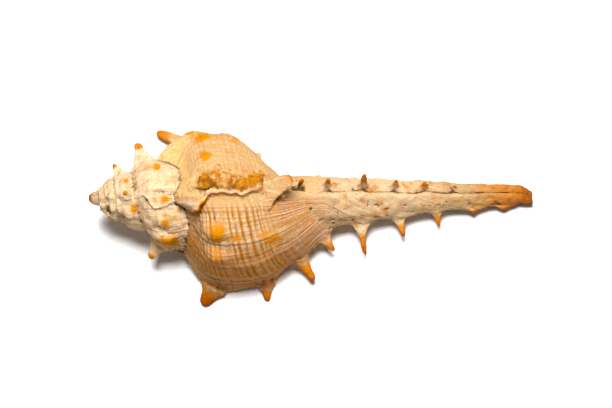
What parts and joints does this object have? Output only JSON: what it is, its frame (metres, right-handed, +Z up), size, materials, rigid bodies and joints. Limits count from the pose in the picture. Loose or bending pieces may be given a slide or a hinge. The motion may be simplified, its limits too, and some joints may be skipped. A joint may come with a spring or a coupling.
{
  "type": "murex shell",
  "caption": "Spiral murex sea shell with spined ribs, an oval aperture and a long straight siphonal canal, lying on its aperture side as a natural ornament or specimen.",
  "frame": {"origin": "centre of the shell's footprint box, on the surface that it lies on", "axes": "+X along the shell from its apex towards the tip of its canal, +Z up, the outer lip with its row of spines towards -Y"},
  "size_m": [0.0938, 0.0372, 0.0299],
  "materials": {
    "shell": "dull weathered shell, cream and beige with orange spiral lines, knobs and spine tips"
  },
  "bodies": {
    "root": {"shell": "shell"}
  },
  "joints": []
}
